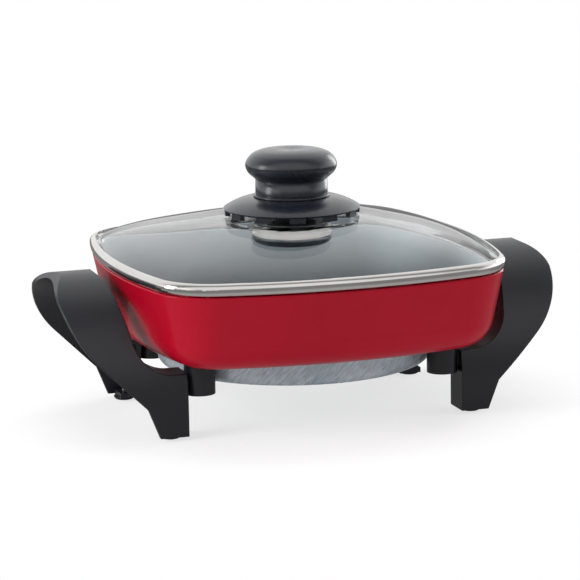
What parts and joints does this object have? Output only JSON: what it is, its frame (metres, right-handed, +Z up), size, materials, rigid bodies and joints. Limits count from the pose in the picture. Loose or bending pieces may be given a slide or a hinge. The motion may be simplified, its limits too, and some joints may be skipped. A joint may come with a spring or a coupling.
{
  "type": "electric skillet",
  "caption": "Square electric skillet with a domed lift-off glass lid, arched side handles that also serve as legs, a round heat shield and a vented lid knob.",
  "frame": {"origin": "on the table, at the middle of the four rubber feet, under the knob", "axes": "+Z up; +X to the right-hand handle, which has the inlet under it; +Y to the back"},
  "size_m": [0.286, 0.216, 0.147],
  "materials": {
    "red_enamel": "cast aluminium, gloss red enamel outside, satin blue-grey non-stick inside",
    "galvanised_sheet": "dull galvanised sheet",
    "plain_steel": "zinc plated",
    "plain_brass": "turned",
    "element_sheath": "dull",
    "white_ceramic": "matt",
    "black_rubber": "matt",
    "black_phenolic": "satin moulded",
    "knob_phenolic": "gloss moulded",
    "polished_band": "polished stainless steel",
    "clear_glass": "clear tempered glass"
  },
  "bodies": {
    "base": {"pan": "red_enamel", "heat_shield": "galvanised_sheet", "shield_stud": "plain_steel", "shield_nut": "plain_steel", "heating_element": "element_sheath", "terminal_insulators": "white_ceramic", "terminal_pins": "plain_steel", "sensor_well": "plain_steel", "inlet_guard": "galvanised_sheet", "foot_front_left": "black_rubber", "foot_front_right": "black_rubber", "foot_back_left": "black_rubber", "foot_back_right": "black_rubber", "foot_screws": "plain_steel", "handle_right": "black_phenolic", "handle_left": "black_phenolic", "handle_washers": "plain_steel", "handle_screws": "plain_steel"},
    "lid": {"lid_band": "polished_band", "lid_glass": "clear_glass", "lid_spacer": "plain_steel", "lid_mirror_disc": "polished_band", "knob_gasket": "black_rubber", "knob_skirt": "knob_phenolic", "knob_neck": "knob_phenolic", "knob_cap": "knob_phenolic", "knob_insert": "plain_brass", "lid_screw": "plain_steel"}
  },
  "joints": [
    {"name": "lid_lift", "type": "slide", "parent": "base", "child": "lid", "axis": [0, 0, 1], "range_m": [0, 0.12]}
  ]
}
